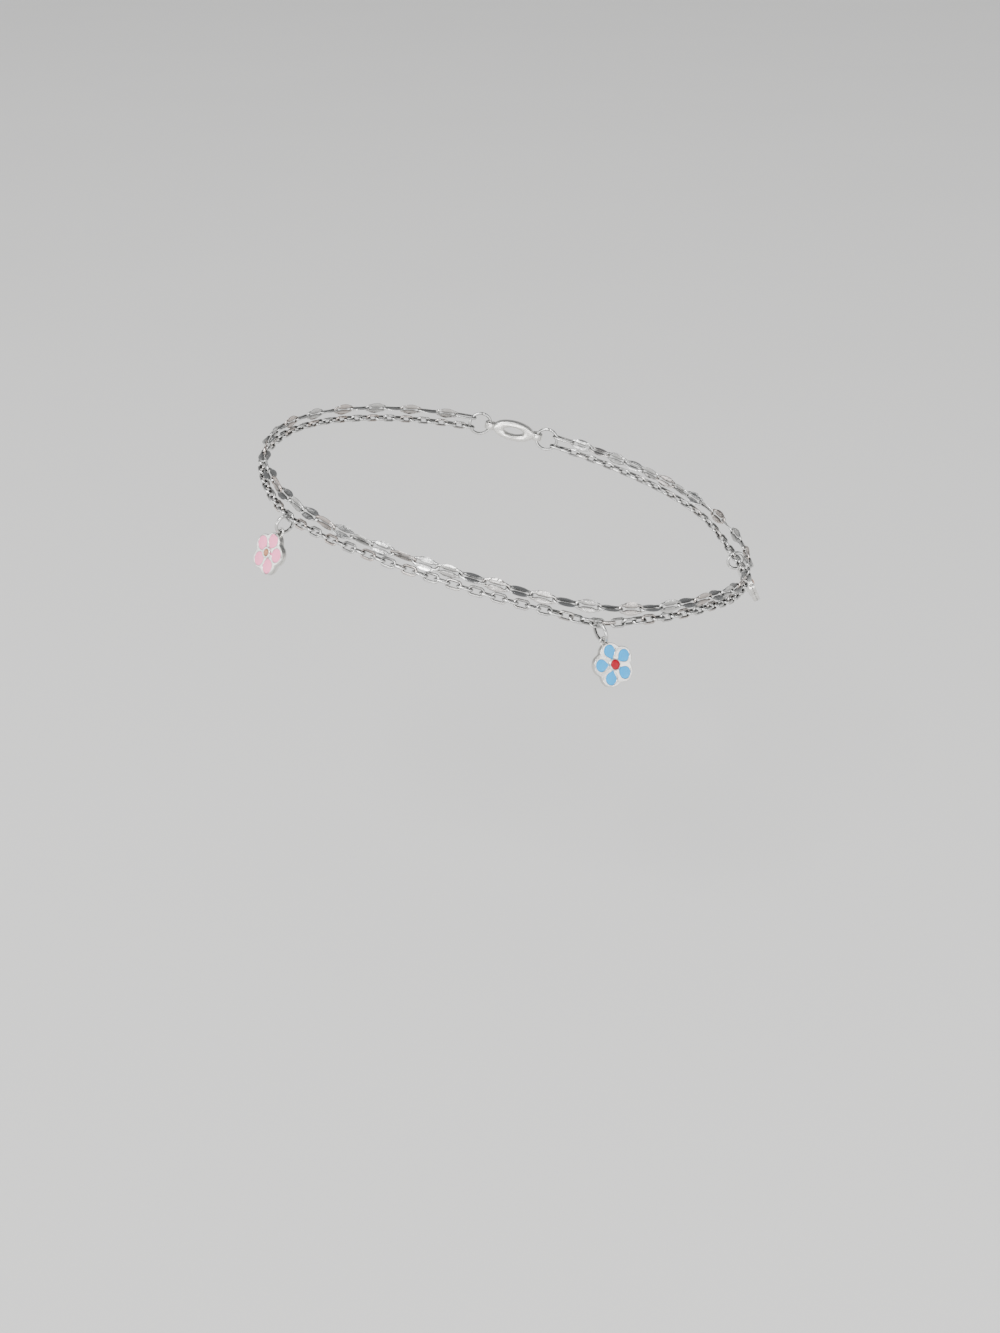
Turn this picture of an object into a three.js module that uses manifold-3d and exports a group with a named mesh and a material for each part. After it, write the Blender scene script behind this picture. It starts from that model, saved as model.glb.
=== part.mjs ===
// A two-strand charm anklet of polished steel, in the shape that it has when worn.
// Millimetres, +Z up. The origin is the middle of the loop, where the ankle goes through.
// The wearer's front of the ankle is -Y here, and +X lies to the right of that view.

import * as THREE from 'three';
import { mergeVertices } from 'three/addons/utils/BufferGeometryUtils.js';
import Module from 'manifold-3d';

const wasm = await Module();
wasm.setup();

// The loop: an ellipse round the ankle, lower on its +X side
const loopAcross = 77.9;
const loopDeep = 69.2;
const loopLean = 13.7;
const claspAngle = 89.2;

// The upper strand: oval links with both long sides hammered to leaves, every second one turned
const leafPitch = 3.4;
const leafWire = 0.35;
const leafLinkWidth = 2.0;
const leafSlit = 0.15;
const leafThickness = 0.24;
const leafHoleWidth = 0.82;
const leafTurn = 35;

// The lower strand: a fine cable chain, which is a plain round strand between its end links here
const cablePitch = 1.645;
const cableWire = 0.42;
const cableLinkWidth = 1.55;
const strandDiameter = 1.36;
const strandSteps = 60;
const strandSides = 8;
const endLinkTurn = 90;

// How deep neighbouring links of a strand bite into each other where they meet
const linkBite = 0.05;
// The slack between separate pieces that hook into each other
const hookSlack = 0.05;

// End rings and clasp
const endRingRadius = 1.85;
const endRingWire = 0.5;
const claspLength = 7.4;
const claspWidth = 3.4;
const claspThickness = 1.6;
const claspSlotLength = 3.6;
const claspSlotWidth = 1.5;
const claspEyeOuter = 1.0;
const claspEyeHole = 0.52;
const claspEyeHeight = 1.2;

// The flower charms
const petalCount = 5;
const flowerRadius = 3.25;
const petalRadius = 1.62;
const plateThickness = 1.0;
const cellRim = 0.3;
const ribWidth = 0.7;
const cellDepth = 0.35;
const enamelGap = 0.05;
const enamelSink = 0.04;
const bossRadius = 0.8;
const bossRise = 0.3;
const dotRadius = 0.62;
const dotRise = 0.5;
const dotSeatDepth = 0.25;
const eyeletRadius = 0.56;
const eyeletWire = 0.36;
const eyeletReach = 0.3;
const jumpRingRadius = 1.4;
const jumpRingWire = 0.5;
const jumpRingGap = 0.1;

// Facets
const linkSides = 5;
const ovalSteps = 10;
const ringSides = 5;
const ringSteps = 16;
const petalArcSteps = 5;
const cellArcSteps = 6;
const roundSteps = 12;
const domeSteps = 2;

// The route of the strands, chosen by eye. at: share of the way round from the clasp. upper and lower:
// how far each strand hangs under the flat loop. turn: the mean turn of the upper links about the strand
const route = [
  { at: 0.0, upper: 0.0, lower: 1.74, turn: 58 },
  { at: 0.1, upper: 0.1, lower: 1.9, turn: 50 },
  { at: 0.2, upper: 0.3, lower: 2.1, turn: 35 },
  { at: 0.29, upper: 0.6, lower: 2.7, turn: 27 },
  { at: 0.341, upper: 0.7, lower: 3.2, turn: 24 },
  { at: 0.375, upper: 0.45, lower: 2.45, turn: 16 },
  { at: 0.41, upper: 0.0, lower: 1.74, turn: -2 },
  { at: 0.44, upper: -0.3, lower: 1.45, turn: 0 },
  { at: 0.47, upper: -0.42, lower: 1.33, turn: 34 },
  { at: 0.5, upper: -0.25, lower: 1.55, turn: 36 },
  { at: 0.53, upper: 0.15, lower: 2.0, turn: 42 },
  { at: 0.5617, upper: 0.42, lower: 2.87, turn: 54 },
  { at: 0.59, upper: 0.3, lower: 2.15, turn: 56 },
  { at: 0.62, upper: -0.12, lower: 1.63, turn: 42 },
  { at: 0.65, upper: -0.38, lower: 1.37, turn: 36 },
  { at: 0.69, upper: 0.2, lower: 2.05, turn: 34 },
  { at: 0.74, upper: 0.5, lower: 2.6, turn: 32 },
  { at: 0.782, upper: 0.45, lower: 3.3, turn: 30 },
  { at: 0.83, upper: 0.2, lower: 2.1, turn: 10 },
  { at: 0.92, upper: 0.05, lower: 1.8, turn: -30 },
  { at: 1.0, upper: 0.0, lower: 1.74, turn: -58 },
];

// How each charm hangs. at: share of the way round from the clasp. face: where its face looks, turned
// from the front towards +X. flare: how far its foot stands out from the ankle. swing: its turn in its
// own face, towards +X
const charms = [
  { name: 'left_flower', at: 0.3403, face: -47, flare: 25, swing: -13, enamel: 'pink', dot: 'peach' },
  { name: 'middle_flower', at: 0.5604, face: 30, flare: 25, swing: 9, enamel: 'blue', dot: 'red' },
  { name: 'right_flower', at: 0.7806, face: 100, flare: 27, swing: 0, enamel: 'mauve', dot: 'peach' },
];

const finishes = {
  steel: { color: 0xd6d7d9, roughness: 0.16, metalness: 1 },
  pink: { color: 0xf0bccb, roughness: 0.22, metalness: 0 },
  mauve: { color: 0xd9a8c0, roughness: 0.22, metalness: 0 },
  blue: { color: 0x6fb8ea, roughness: 0.22, metalness: 0 },
  red: { color: 0xc22d46, roughness: 0.2, metalness: 0 },
  peach: { color: 0xb98a72, roughness: 0.2, metalness: 0 },
};

const rad = THREE.MathUtils.degToRad;
const lean = new THREE.Matrix4().makeRotationY(rad(loopLean));
const loopAxis = new THREE.Vector3(0, 0, 1).applyMatrix4(lean);

// A closed geometry as a solid for cutting and joining, and a solid back as a geometry
function toSolid(geometry) {
  const bare = geometry.clone();
  bare.deleteAttribute('normal');
  bare.deleteAttribute('uv');
  const merged = mergeVertices(bare, 1e-5);
  return new wasm.Manifold(new wasm.Mesh({
    numProp: 3,
    vertProperties: new Float32Array(merged.attributes.position.array),
    triVerts: new Uint32Array(merged.index.array),
  }));
}

function toGeometry(solid) {
  const mesh = solid.getMesh();
  const geometry = new THREE.BufferGeometry();
  geometry.setAttribute('position', new THREE.BufferAttribute(mesh.vertProperties, 3));
  geometry.setIndex(new THREE.BufferAttribute(mesh.triVerts, 1));
  return geometry;
}

function piece(name, geometry, finish) {
  const mesh = new THREE.Mesh(geometry, new THREE.MeshStandardMaterial(finishes[finish]));
  mesh.name = name;
  return mesh;
}

// The flat ellipse of the loop, walked from the clasp round by the -X side
const loopEllipse = new THREE.EllipseCurve(
  0, 0, loopAcross / 2, loopDeep / 2, rad(claspAngle), rad(claspAngle) + 2 * Math.PI);
loopEllipse.arcLengthDivisions = 1440;
const loopLength = loopEllipse.getLength();

const routeColumns = ['upper', 'lower', 'turn'];
const routeReader = new THREE.CubicInterpolant(
  route.map((row) => row.at), route.flatMap((row) => routeColumns.map((name) => row[name])),
  routeColumns.length);

function routeValue(share, column) {
  return routeReader.evaluate(share)[routeColumns.indexOf(column)];
}

// The middle line of one strand between two distances from the clasp, or of the clasp's own stretch
class StrandLine extends THREE.Curve {
  constructor(dropAt, from, to) {
    super();
    this.dropAt = dropAt;
    this.from = from;
    this.to = to;
  }

  getPoint(t, target = new THREE.Vector3()) {
    const share = THREE.MathUtils.lerp(this.from, this.to, t) / loopLength;
    const flat = loopEllipse.getPointAt(THREE.MathUtils.euclideanModulo(share, 1));
    return target.set(flat.x, flat.y, -this.dropAt(share)).applyMatrix4(lean);
  }
}

const upperDrop = (share) => routeValue(share, 'upper');
const lowerDrop = (share) => routeValue(share, 'lower');
const middleDrop = () => (upperDrop(0) + lowerDrop(0)) / 2;
const upperLine = new StrandLine(upperDrop, 0, loopLength);
const lowerLine = new StrandLine(lowerDrop, 0, loopLength);
const claspLine = new StrandLine(middleDrop, -loopLength / 2, loopLength / 2);

// The place of something on a line: x along the line, z away from the ankle, turned about x
function placeOnLine(line, distance, turn) {
  const t = (distance - line.from) / (line.to - line.from);
  const along = line.getTangent(t);
  const out = new THREE.Vector3().crossVectors(along, loopAxis).normalize();
  const up = new THREE.Vector3().crossVectors(out, along);
  const place = new THREE.Matrix4().makeBasis(along, up, out);
  place.multiply(new THREE.Matrix4().makeRotationX(rad(-turn)));
  return place.setPosition(line.getPoint(t));
}

// The corners of a link's wire as shares of its width and thickness, with one ridge towards the hole
const wireCorners = [];
for (let side = 0; side < linkSides; side += 1) {
  const angle = Math.PI + (side / linkSides) * 2 * Math.PI;
  wireCorners.push({ reach: Math.cos(angle), lift: Math.sin(angle) });
}
const outermost = Math.max(...wireCorners.map((corner) => corner.reach));
const tallest = Math.max(...wireCorners.map((corner) => corner.lift));
for (const corner of wireCorners) {
  corner.reach = (corner.reach + 1) / (outermost + 1) - 0.5;
  corner.lift /= 2 * tallest;
}

// A closed band round a hole: the wire's section at each station, joined to the next
function closedBand(stations) {
  const positions = [];
  const index = [];
  for (const { x, y, facing, width, thickness } of stations) {
    for (const corner of wireCorners) {
      const reach = corner.reach * width;
      positions.push(x + reach * Math.cos(facing), y + reach * Math.sin(facing), corner.lift * thickness);
    }
  }
  stations.forEach((_, row) => {
    const next = (row + 1) % stations.length;
    for (let side = 0; side < linkSides; side += 1) {
      const after = (side + 1) % linkSides;
      const a = row * linkSides + side;
      const b = next * linkSides + side;
      const c = next * linkSides + after;
      const d = row * linkSides + after;
      index.push(a, b, c, a, c, d);
    }
  });
  const geometry = new THREE.BufferGeometry();
  geometry.setAttribute('position', new THREE.Float32BufferAttribute(positions, 3));
  geometry.setIndex(index);
  return geometry;
}

// One quarter of a leaf link from its end wire to its leaf. along: share of the half length between the
// end wires' middles. inner and outer: shares of half the link's width, open: inner for a plain link.
// leaf: how far the wire is hammered flat
const leafQuarter = [
  { along: 0.76, facing: 66, inner: leafHoleWidth / leafLinkWidth, outer: 0.8, open: 0.44, leaf: 0.2 },
  { along: 0.4, facing: 84, inner: leafSlit / leafLinkWidth, outer: 0.98, open: 0.62, leaf: 1 },
];
const endFacing = 38;
const endAcross = 0.37;

const mirrorAlong = (row) => ({ ...row, x: -row.x, facing: Math.PI - row.facing });
const turnHalf = (row) => ({ ...row, x: -row.x, y: -row.y, facing: row.facing + Math.PI });

function leafLink(pitch, isPlain) {
  const half = leafLinkWidth / 2;
  const innerEnd = (pitch - linkBite) / 2;
  const facing = rad(endFacing);
  const end = {
    x: innerEnd + (leafWire / 2) * Math.cos(facing),
    y: endAcross * half,
    facing,
    width: leafWire,
    thickness: leafWire,
  };
  const quarter = leafQuarter.map((row) => {
    const inner = isPlain ? row.open : row.inner;
    return {
      x: row.along * (innerEnd + leafWire / 2),
      y: ((inner + row.outer) / 2) * half,
      facing: rad(row.facing),
      width: (row.outer - inner) * half,
      thickness: THREE.MathUtils.lerp(leafWire, leafThickness, isPlain ? 0 : row.leaf),
    };
  });
  const rightQuarter = [end, ...quarter];
  const upperHalf = [...rightQuarter, ...rightQuarter.map(mirrorAlong).reverse()];
  return closedBand([...upperHalf, ...upperHalf.map(turnHalf)]);
}

// A plain oval link of round wire
function ovalLink(pitch) {
  const bend = (cableLinkWidth - cableWire) / 2;
  const straight = (pitch - linkBite + cableWire) / 2 - bend;
  const stations = [];
  for (let step = 0; step < ovalSteps; step += 1) {
    const facing = ((step + 0.5) / ovalSteps) * 2 * Math.PI;
    stations.push({
      x: Math.sign(Math.cos(facing)) * straight + bend * Math.cos(facing),
      y: bend * Math.sin(facing),
      facing,
      width: cableWire,
      thickness: cableWire,
    });
  }
  return closedBand(stations);
}

// Where the end rings stand, and where each strand leaves them
const claspEyeAlong = claspLength / 2 + claspEyeOuter / 2;
const endRingAlong = claspEyeAlong + endRingRadius;
const halfSpread = (lowerDrop(0) - upperDrop(0)) / 2;
const strandHook = endRingAlong + Math.sqrt(endRingRadius ** 2 - halfSpread ** 2);
const hookSlope = halfSpread / Math.sqrt(endRingRadius ** 2 - halfSpread ** 2);

// Spreads whole links evenly between the end rings: the first link's distance, the pitch and the count
function spreadLinks(pitch, wire) {
  const slant = hookSlope * (wire / 2);
  const first = strandHook - endRingWire / 2 - hookSlack - slant + (pitch - linkBite) / 2;
  const gaps = Math.round((loopLength - 2 * first) / pitch);
  return { first, pitch: (loopLength - 2 * first) / gaps, count: gaps + 1 };
}

const leafSpread = spreadLinks(leafPitch, leafWire);
const cableSpread = spreadLinks(cablePitch, cableWire);

function leafStrand() {
  const { first, pitch, count } = leafSpread;
  const solids = [];
  for (let link = 0; link < count; link += 1) {
    const distance = first + link * pitch;
    const isEnd = link === 0 || link === count - 1;
    const mean = routeValue(distance / loopLength, 'turn');
    const turn = isEnd ? endLinkTurn : mean + (link % 2 === 0 ? leafTurn : -leafTurn);
    const geometry = leafLink(pitch, isEnd);
    geometry.applyMatrix4(placeOnLine(upperLine, distance, turn));
    solids.push(toSolid(geometry));
  }
  return toGeometry(wasm.Manifold.union(solids));
}

const cableDistance = (link) => cableSpread.first + link * cableSpread.pitch;

// The lower strand: a round rod between two end links, pierced where each jump ring goes through
function cableStrand(ringCutters) {
  const { pitch, count } = cableSpread;
  const rodEnd = cableWire / 2;
  const line = new StrandLine(
    lowerDrop, cableDistance(0) + pitch / 2 + rodEnd, cableDistance(count - 1) - pitch / 2 - rodEnd);
  const section = new THREE.Shape();
  for (let side = 0; side < strandSides; side += 1) {
    const angle = ((side + 0.5) / strandSides) * 2 * Math.PI;
    const corner = [(strandDiameter / 2) * Math.cos(angle), (strandDiameter / 2) * Math.sin(angle)];
    section[side === 0 ? 'moveTo' : 'lineTo'](...corner);
  }
  const rod = new THREE.ExtrudeGeometry(section, { steps: strandSteps, extrudePath: line });
  let strand = toSolid(rod);
  for (const link of [0, count - 1]) {
    const eye = ovalLink(pitch);
    eye.applyMatrix4(placeOnLine(lowerLine, cableDistance(link), endLinkTurn));
    strand = strand.add(toSolid(eye));
  }
  for (const cutter of ringCutters) {
    strand = strand.subtract(toSolid(cutter));
  }
  return toGeometry(strand);
}

function roundRing(radius, wire) {
  return new THREE.TorusGeometry(radius, wire / 2, ringSides, ringSteps);
}

// The clasp: one flat oval piece with a slot and an upright eye at each end
function claspBody() {
  const outline = new THREE.Shape();
  outline.absellipse(0, 0, claspLength / 2, claspWidth / 2, 0, 2 * Math.PI, false, 0);
  const slot = new THREE.Path();
  slot.absellipse(0, 0, claspSlotLength / 2, claspSlotWidth / 2, 0, 2 * Math.PI, true, 0);
  outline.holes.push(slot);
  const plate = new THREE.ExtrudeGeometry(
    outline, { depth: claspThickness, bevelEnabled: false, curveSegments: roundSteps });
  plate.translate(0, 0, -claspThickness / 2);
  let body = toSolid(plate);
  const eyeRound = new THREE.CylinderGeometry(claspEyeOuter, claspEyeOuter, claspEyeHeight, roundSteps);
  const eyeHole = new THREE.CylinderGeometry(claspEyeHole, claspEyeHole, claspWidth, roundSteps);
  for (const end of [-1, 1]) {
    body = body.add(toSolid(eyeRound.clone().translate(end * claspEyeAlong, 0, 0)));
    body = body.subtract(toSolid(eyeHole.clone().translate(end * claspEyeAlong, 0, 0)));
  }
  return toGeometry(body);
}

// Angles of the petals in the flower's face: the first points up to the eyelet
const petalAngle = (petal) => Math.PI / 2 + (petal / petalCount) * 2 * Math.PI;

function petalOutline() {
  const centre = flowerRadius - petalRadius;
  const halfStep = Math.PI / petalCount;
  const across = centre * Math.sin(halfStep);
  const notch = centre * Math.cos(halfStep) + Math.sqrt(petalRadius ** 2 - across ** 2);
  const sweep = Math.atan2(notch * Math.sin(halfStep), notch * Math.cos(halfStep) - centre);
  const outline = new THREE.Shape();
  for (let petal = 0; petal < petalCount; petal += 1) {
    const angle = petalAngle(petal);
    outline.absarc(centre * Math.cos(angle), centre * Math.sin(angle), petalRadius,
      angle - sweep, angle + sweep, false);
  }
  return outline;
}

// The round end of a cell fills its petal up to the rim and leaves a rib to the next cell
const ribSlope = Math.sin(Math.PI / petalCount);
const cellRadius = ((flowerRadius - cellRim) * ribSlope - ribWidth / 2) / (1 + ribSlope);

// A drop-shaped cell that points to the flower's middle, drawn along +X and shrunk by a gap
function cellOutline(gap) {
  const centre = flowerRadius - cellRim - cellRadius;
  const tip = bossRadius + gap;
  const round = cellRadius - gap;
  const taper = Math.acos(round / (centre - tip));
  const start = taper - Math.PI;
  const outline = new THREE.Shape();
  outline.moveTo(tip, 0);
  outline.lineTo(centre + round * Math.cos(start), round * Math.sin(start));
  outline.absarc(centre, 0, round, start, -start, false);
  return outline;
}

function cellSlab(petal, gap, bottom, top) {
  const slab = new THREE.ExtrudeGeometry(
    cellOutline(gap), { depth: top - bottom, bevelEnabled: false, curveSegments: cellArcSteps });
  slab.rotateZ(petalAngle(petal));
  slab.translate(0, 0, bottom);
  return slab;
}

function disc(radius, bottom, top) {
  const round = new THREE.CylinderGeometry(radius, radius, top - bottom, roundSteps);
  round.rotateX(Math.PI / 2);
  round.translate(0, 0, (bottom + top) / 2);
  return round;
}

const eyeletAlong = flowerRadius + eyeletReach;
const eyeletLift = plateThickness * 0.35;

// The flower's casting: a lobed plate with five cells, a raised boss and an eyelet behind its top petal
function flowerCasting() {
  const plate = new THREE.ExtrudeGeometry(
    petalOutline(), { depth: plateThickness, bevelEnabled: false, curveSegments: petalArcSteps });
  const eyelet = new THREE.TorusGeometry(eyeletRadius, eyeletWire / 2, ringSides, roundSteps);
  eyelet.translate(0, eyeletAlong, eyeletLift);
  const eyeletHole = disc(eyeletRadius - eyeletWire / 2, -plateThickness, 2 * plateThickness);
  eyeletHole.translate(0, eyeletAlong, 0);
  const bossTop = plateThickness + bossRise;
  let casting = toSolid(plate).subtract(toSolid(eyeletHole)).add(toSolid(eyelet));
  casting = casting.add(toSolid(disc(bossRadius, plateThickness / 2, bossTop)));
  for (let petal = 0; petal < petalCount; petal += 1) {
    const cell = cellSlab(petal, 0, plateThickness - cellDepth, plateThickness * 2);
    casting = casting.subtract(toSolid(cell));
  }
  const seat = disc(dotRadius + enamelGap, bossTop - dotSeatDepth, bossTop * 2);
  return toGeometry(casting.subtract(toSolid(seat)));
}

function petalEnamel(petal) {
  const bottom = plateThickness - cellDepth + enamelGap;
  return cellSlab(petal, enamelGap, bottom, plateThickness - enamelSink);
}

// The domed dot in the boss
function centreDot() {
  const bottom = plateThickness + bossRise - dotSeatDepth + enamelGap;
  const shoulder = plateThickness + bossRise;
  const top = plateThickness + dotRise;
  const profile = [new THREE.Vector2(0, bottom), new THREE.Vector2(dotRadius, bottom)];
  for (let step = 0; step <= domeSteps; step += 1) {
    const angle = (step / domeSteps) * (Math.PI / 2);
    const radius = step === domeSteps ? 0 : dotRadius * Math.cos(angle);
    profile.push(new THREE.Vector2(radius, shoulder + (top - shoulder) * Math.sin(angle)));
  }
  const dot = new THREE.LatheGeometry(profile, roundSteps);
  dot.rotateX(Math.PI / 2);
  return dot;
}

// A charm's place: x to the side, y up towards the ring, z out of the face
function charmBasis({ face, flare, swing }) {
  const turn = rad(face);
  const rise = rad(flare);
  const out = new THREE.Vector3(
    Math.sin(turn) * Math.cos(rise), -Math.cos(turn) * Math.cos(rise), Math.sin(rise));
  const side = new THREE.Vector3(Math.cos(turn), Math.sin(turn), 0);
  const up = new THREE.Vector3().crossVectors(out, side);
  const place = new THREE.Matrix4().makeBasis(side, up, out);
  return place.multiply(new THREE.Matrix4().makeRotationZ(rad(swing)));
}

const anklet = new THREE.Group();
anklet.add(piece('leaf_link_strand', leafStrand(), 'steel'));

const ringCutters = [];
for (const charm of charms) {
  const basis = charmBasis(charm);
  const up = new THREE.Vector3().setFromMatrixColumn(basis, 1);
  const out = new THREE.Vector3().setFromMatrixColumn(basis, 2);
  const link = Math.round((charm.at * loopLength - cableSpread.first) / cableSpread.pitch);
  const distance = cableDistance(link);
  const hook = lowerLine.getPoint(distance / loopLength);

  const ringPlace = basis.clone().multiply(new THREE.Matrix4().makeRotationY(Math.PI / 2));
  ringPlace.setPosition(hook.clone().addScaledVector(up, -jumpRingRadius));
  const ring = piece(`${charm.name}_jump_ring`, roundRing(jumpRingRadius, jumpRingWire), 'steel');
  ring.applyMatrix4(ringPlace);
  anklet.add(ring);
  const bore = jumpRingWire + 2 * jumpRingGap;
  ringCutters.push(roundRing(jumpRingRadius, bore).applyMatrix4(ringPlace));

  const flower = new THREE.Group();
  flower.add(piece(`${charm.name}_casting`, flowerCasting(), 'steel'));
  for (let petal = 0; petal < petalCount; petal += 1) {
    flower.add(piece(`${charm.name}_petal_${petal + 1}`, petalEnamel(petal), charm.enamel));
  }
  flower.add(piece(`${charm.name}_dot`, centreDot(), charm.dot));
  const drop = 2 * jumpRingRadius + eyeletAlong;
  const place = basis.clone();
  place.setPosition(hook.clone().addScaledVector(up, -drop).addScaledVector(out, -eyeletLift));
  flower.applyMatrix4(place);
  anklet.add(flower);
}
anklet.add(piece('cable_strand', cableStrand(ringCutters), 'steel'));

['left', 'right'].forEach((side, order) => {
  const ring = piece(`${side}_end_ring`, roundRing(endRingRadius, endRingWire), 'steel');
  ring.applyMatrix4(placeOnLine(claspLine, order === 0 ? endRingAlong : -endRingAlong, 0));
  anklet.add(ring);
});

const clasp = piece('clasp', claspBody(), 'steel');
clasp.applyMatrix4(placeOnLine(claspLine, 0, 0));
anklet.add(clasp);

export default anklet;
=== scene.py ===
"""A two-strand charm anklet: leaf links over a fine cable chain, with three enamelled flowers."""

import logging
import math
from bisect import bisect_right
from collections.abc import Callable, Sequence
from dataclasses import dataclass, field
from enum import Enum
from functools import cache, cached_property

import bmesh
import bpy
from mathutils import Matrix, Vector
from mathutils.geometry import tessellate_polygon


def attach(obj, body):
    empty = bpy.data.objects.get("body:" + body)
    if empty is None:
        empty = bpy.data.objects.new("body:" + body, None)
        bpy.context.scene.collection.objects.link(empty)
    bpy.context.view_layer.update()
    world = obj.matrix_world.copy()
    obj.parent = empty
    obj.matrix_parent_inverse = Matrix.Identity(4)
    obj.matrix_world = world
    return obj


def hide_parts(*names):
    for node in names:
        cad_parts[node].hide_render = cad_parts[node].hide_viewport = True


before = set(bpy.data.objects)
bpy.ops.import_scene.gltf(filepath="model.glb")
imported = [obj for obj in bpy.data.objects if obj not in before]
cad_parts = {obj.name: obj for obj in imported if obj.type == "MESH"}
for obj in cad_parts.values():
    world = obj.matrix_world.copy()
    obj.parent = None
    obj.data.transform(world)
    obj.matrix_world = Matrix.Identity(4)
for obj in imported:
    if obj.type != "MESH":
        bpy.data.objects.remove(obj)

MM = 0.001
# The part of the wear's mask in which handling marks grow
MARK_RANGE = (0.3, 0.9)
# How sharply an outline's corners may be mitred, and how fast the painted shade rises in a link's
# recess
MITRE_LIMIT, RECESS_RISE = 0.4, 1.7
# Two turns in radians that set each link's warmth apart from its neighbours'
TONE_TURNS = (2.399, 0.731)
LOG = logging.getLogger("charm_anklet")
Point2 = tuple[float, float]
Socket, Node = bpy.types.NodeSocket, bpy.types.Node
Object, Material = bpy.types.Object, bpy.types.Material
Outputs = bpy.types.bpy_prop_collection


# Node trees

class Graph:
    """A node tree that is being put together."""

    def __init__(self, tree: bpy.types.NodeTree) -> None:
        """Takes the tree to fill."""
        self.tree = tree

    def add(self, kind: str, settings: dict | None = None, inputs: dict | None = None) -> Node:
        """Adds one node.

        Args:
            kind: the node's type name.
            settings: the node's own properties.
            inputs: for each input's name or number, a socket to join or a plain value.

        Returns:
            The new node.
        """
        node = self.tree.nodes.new(kind)
        for name, value in (settings or {}).items():
            setattr(node, name, value)
        self.fill(node, inputs or {})
        return node

    def fill(self, node: Node, inputs: dict) -> None:
        """Joins sockets to a node's inputs and sets its plain values."""
        for name, value in inputs.items():
            if isinstance(value, Socket):
                self.tree.links.new(value, node.inputs[name])
            else:
                node.inputs[name].default_value = value

    def math(self, operation: str, *values: object) -> Socket:
        """Adds a sum of one kind and returns its result."""
        node = self.add("ShaderNodeMath", {"operation": operation}, dict(enumerate(values)))
        return node.outputs[0]

    def vector_math(self, operation: str, *values: object) -> Node:
        """Adds a vector sum of one kind."""
        return self.add("ShaderNodeVectorMath", {"operation": operation}, dict(enumerate(values)))

    def vector(self, **parts: object) -> Socket:
        """Puts X, Y and Z together and returns the vector."""
        return self.add("ShaderNodeCombineXYZ", None, parts).outputs[0]

    def parts(self, vector: Socket) -> Outputs:
        """Splits a vector and returns its X, Y and Z."""
        return self.add("ShaderNodeSeparateXYZ", None, {0: vector}).outputs

    def noise(self, **inputs: object) -> Socket:
        """Adds a noise and returns its value."""
        return self.add("ShaderNodeTexNoise", None, inputs).outputs[0]

    def blend(self, share: Socket, first: object, second: object) -> Socket:
        """Blends two colours by a share and returns the result."""
        values = {"Factor": share, 6: first, 7: second}
        return self.add("ShaderNodeMix", {"data_type": "RGBA"}, values).outputs[2]

    def fit(self, value: Socket, before: Point2, after: Point2) -> Socket:
        """Maps a value from one range to another, held at both ends, and returns it."""
        return self.add("ShaderNodeMapRange", None, {
            "Value": value, "From Min": before[0], "From Max": before[1],
            "To Min": after[0], "To Max": after[1]}).outputs[0]

    def carried(self, label: str) -> Socket:
        """Reads a value that a mesh carries."""
        return self.add("ShaderNodeAttribute", {"attribute_name": label}).outputs["Fac"]


def open_group(name: str, kind: str, inputs: dict[str, tuple],
               outputs: dict[str, str]) -> tuple[Graph, Node, Node]:
    """Starts a node group with named sockets.

    Args:
        name: the group's name.
        kind: the type of tree.
        inputs: for each input's name, its socket type and its default, or None for no default.
        outputs: for each output's name, its socket type.

    Returns:
        The graph, its input node and its output node.
    """
    tree = bpy.data.node_groups.new(name, kind)
    for label, (socket_type, default) in inputs.items():
        socket = tree.interface.new_socket(label, in_out="INPUT", socket_type=socket_type)
        if default is not None:
            socket.default_value = default
    for label, socket_type in outputs.items():
        tree.interface.new_socket(label, in_out="OUTPUT", socket_type=socket_type)
    graph = Graph(tree)
    return graph, graph.add("NodeGroupInput"), graph.add("NodeGroupOutput")


# Finishes

@cache
def wear_group() -> bpy.types.NodeTree:
    """Builds the shared group of hammer dents, polishing lines and handling marks.

    Returns:
        A group with a height and a mask that change over the surface.
    """
    graph, entry, leave = open_group(
        "handling_wear", "ShaderNodeTree",
        {"Dents per mm": ("NodeSocketFloat", 1.5), "Lines per mm": ("NodeSocketFloat", 9.0),
         "Line Share": ("NodeSocketFloat", 0.3)},
        {"Height": "NodeSocketFloat", "Mask": "NodeSocketFloat"})
    inputs = entry.outputs
    in_mm = graph.add("ShaderNodeVectorMath", {"operation": "SCALE"}, {
        0: graph.add("ShaderNodeTexCoord").outputs["Object"], "Scale": 1 / MM}).outputs[0]
    drawn = graph.vector_math("MULTIPLY", in_mm, (1.0, 1.0, 0.22)).outputs[0]
    dents = graph.noise(Vector=in_mm, Scale=inputs["Dents per mm"], Detail=1.5, Roughness=0.45)
    lines = graph.noise(Vector=drawn, Scale=inputs["Lines per mm"], Detail=2.0, Roughness=0.6)
    patches = graph.noise(Vector=in_mm, Scale=0.35, Detail=2.0)
    height = graph.add("ShaderNodeMix", {"data_type": "FLOAT"}, {
        0: inputs["Line Share"], 2: dents, 3: lines}).outputs[0]
    mask = graph.math("MULTIPLY", graph.math("MULTIPLY", lines, patches), 2.4)
    graph.fill(leave, {"Height": height, "Mask": mask})
    return graph.tree


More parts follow.
